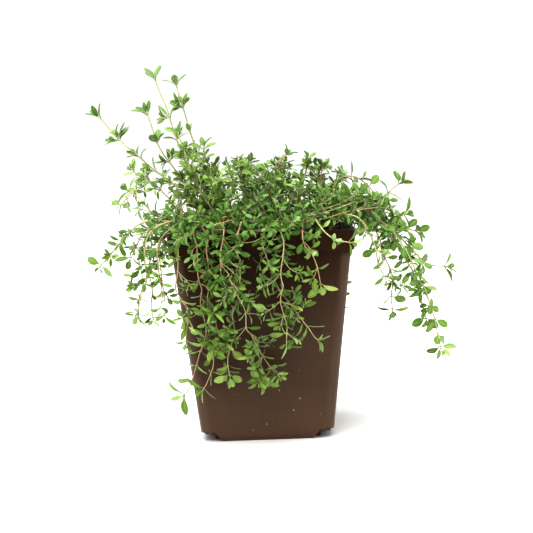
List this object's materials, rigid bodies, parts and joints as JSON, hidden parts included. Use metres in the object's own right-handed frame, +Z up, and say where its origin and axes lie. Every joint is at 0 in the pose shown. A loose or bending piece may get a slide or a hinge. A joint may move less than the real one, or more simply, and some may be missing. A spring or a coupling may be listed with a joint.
{
  "type": "potted thyme",
  "caption": "Bushy thyme plant in a tapered square nursery pot, with tall leaning stems and stems that trail over the rim.",
  "frame": {"origin": "centre of the pot's underside, on the surface that it stands on", "axes": "+Z up along the pot's axis, -Y towards the pot's front, +X to the right in the front view"},
  "size_m": [0.233, 0.1955, 0.2393],
  "materials": {
    "pot_plastic": "dark brown satin plastic",
    "potting_mix": "dark crumbly potting mix",
    "thyme_foliage": "matte green leaves on thin woody stems"
  },
  "bodies": {
    "root": {"back_arching_stem_12": "thyme_foliage", "back_arching_stem_3": "thyme_foliage", "back_arching_stem_6": "thyme_foliage", "back_arching_stem_9": "thyme_foliage", "back_trailing_stem_1": "thyme_foliage", "back_trailing_stem_10": "thyme_foliage", "back_trailing_stem_13": "thyme_foliage", "back_trailing_stem_4": "thyme_foliage", "back_trailing_stem_7": "thyme_foliage", "back_upright_stem_11": "thyme_foliage", "back_upright_stem_14": "thyme_foliage", "back_upright_stem_2": "thyme_foliage", "back_upright_stem_5": "thyme_foliage", "back_upright_stem_8": "thyme_foliage", "front_stem_1": "thyme_foliage", "front_stem_2": "thyme_foliage", "front_stem_3": "thyme_foliage", "front_stem_4": "thyme_foliage", "front_stem_5": "thyme_foliage", "front_stem_6": "thyme_foliage", "front_stem_7": "thyme_foliage", "front_stem_8": "thyme_foliage", "front_stem_9": "thyme_foliage", "left_stem_1": "thyme_foliage", "left_stem_2": "thyme_foliage", "left_stem_3": "thyme_foliage", "left_stem_4": "thyme_foliage", "left_stem_5": "thyme_foliage", "left_stem_6": "thyme_foliage", "mound_stem_1": "thyme_foliage", "mound_stem_10": "thyme_foliage", "mound_stem_2": "thyme_foliage", "mound_stem_3": "thyme_foliage", "mound_stem_4": "thyme_foliage", "mound_stem_5": "thyme_foliage", "mound_stem_6": "thyme_foliage", "mound_stem_7": "thyme_foliage", "mound_stem_8": "thyme_foliage", "mound_stem_9": "thyme_foliage", "pot": "pot_plastic", "potting_mix": "potting_mix", "right_stem_1": "thyme_foliage", "right_stem_2": "thyme_foliage", "right_stem_3": "thyme_foliage", "right_stem_4": "thyme_foliage", "right_stem_5": "thyme_foliage", "right_stem_6": "thyme_foliage", "right_stem_7": "thyme_foliage", "short_stem_1": "thyme_foliage", "short_stem_2": "thyme_foliage", "tall_stem_1": "thyme_foliage", "tall_stem_2": "thyme_foliage", "tall_stem_3": "thyme_foliage", "tall_stem_4": "thyme_foliage"}
  },
  "joints": []
}
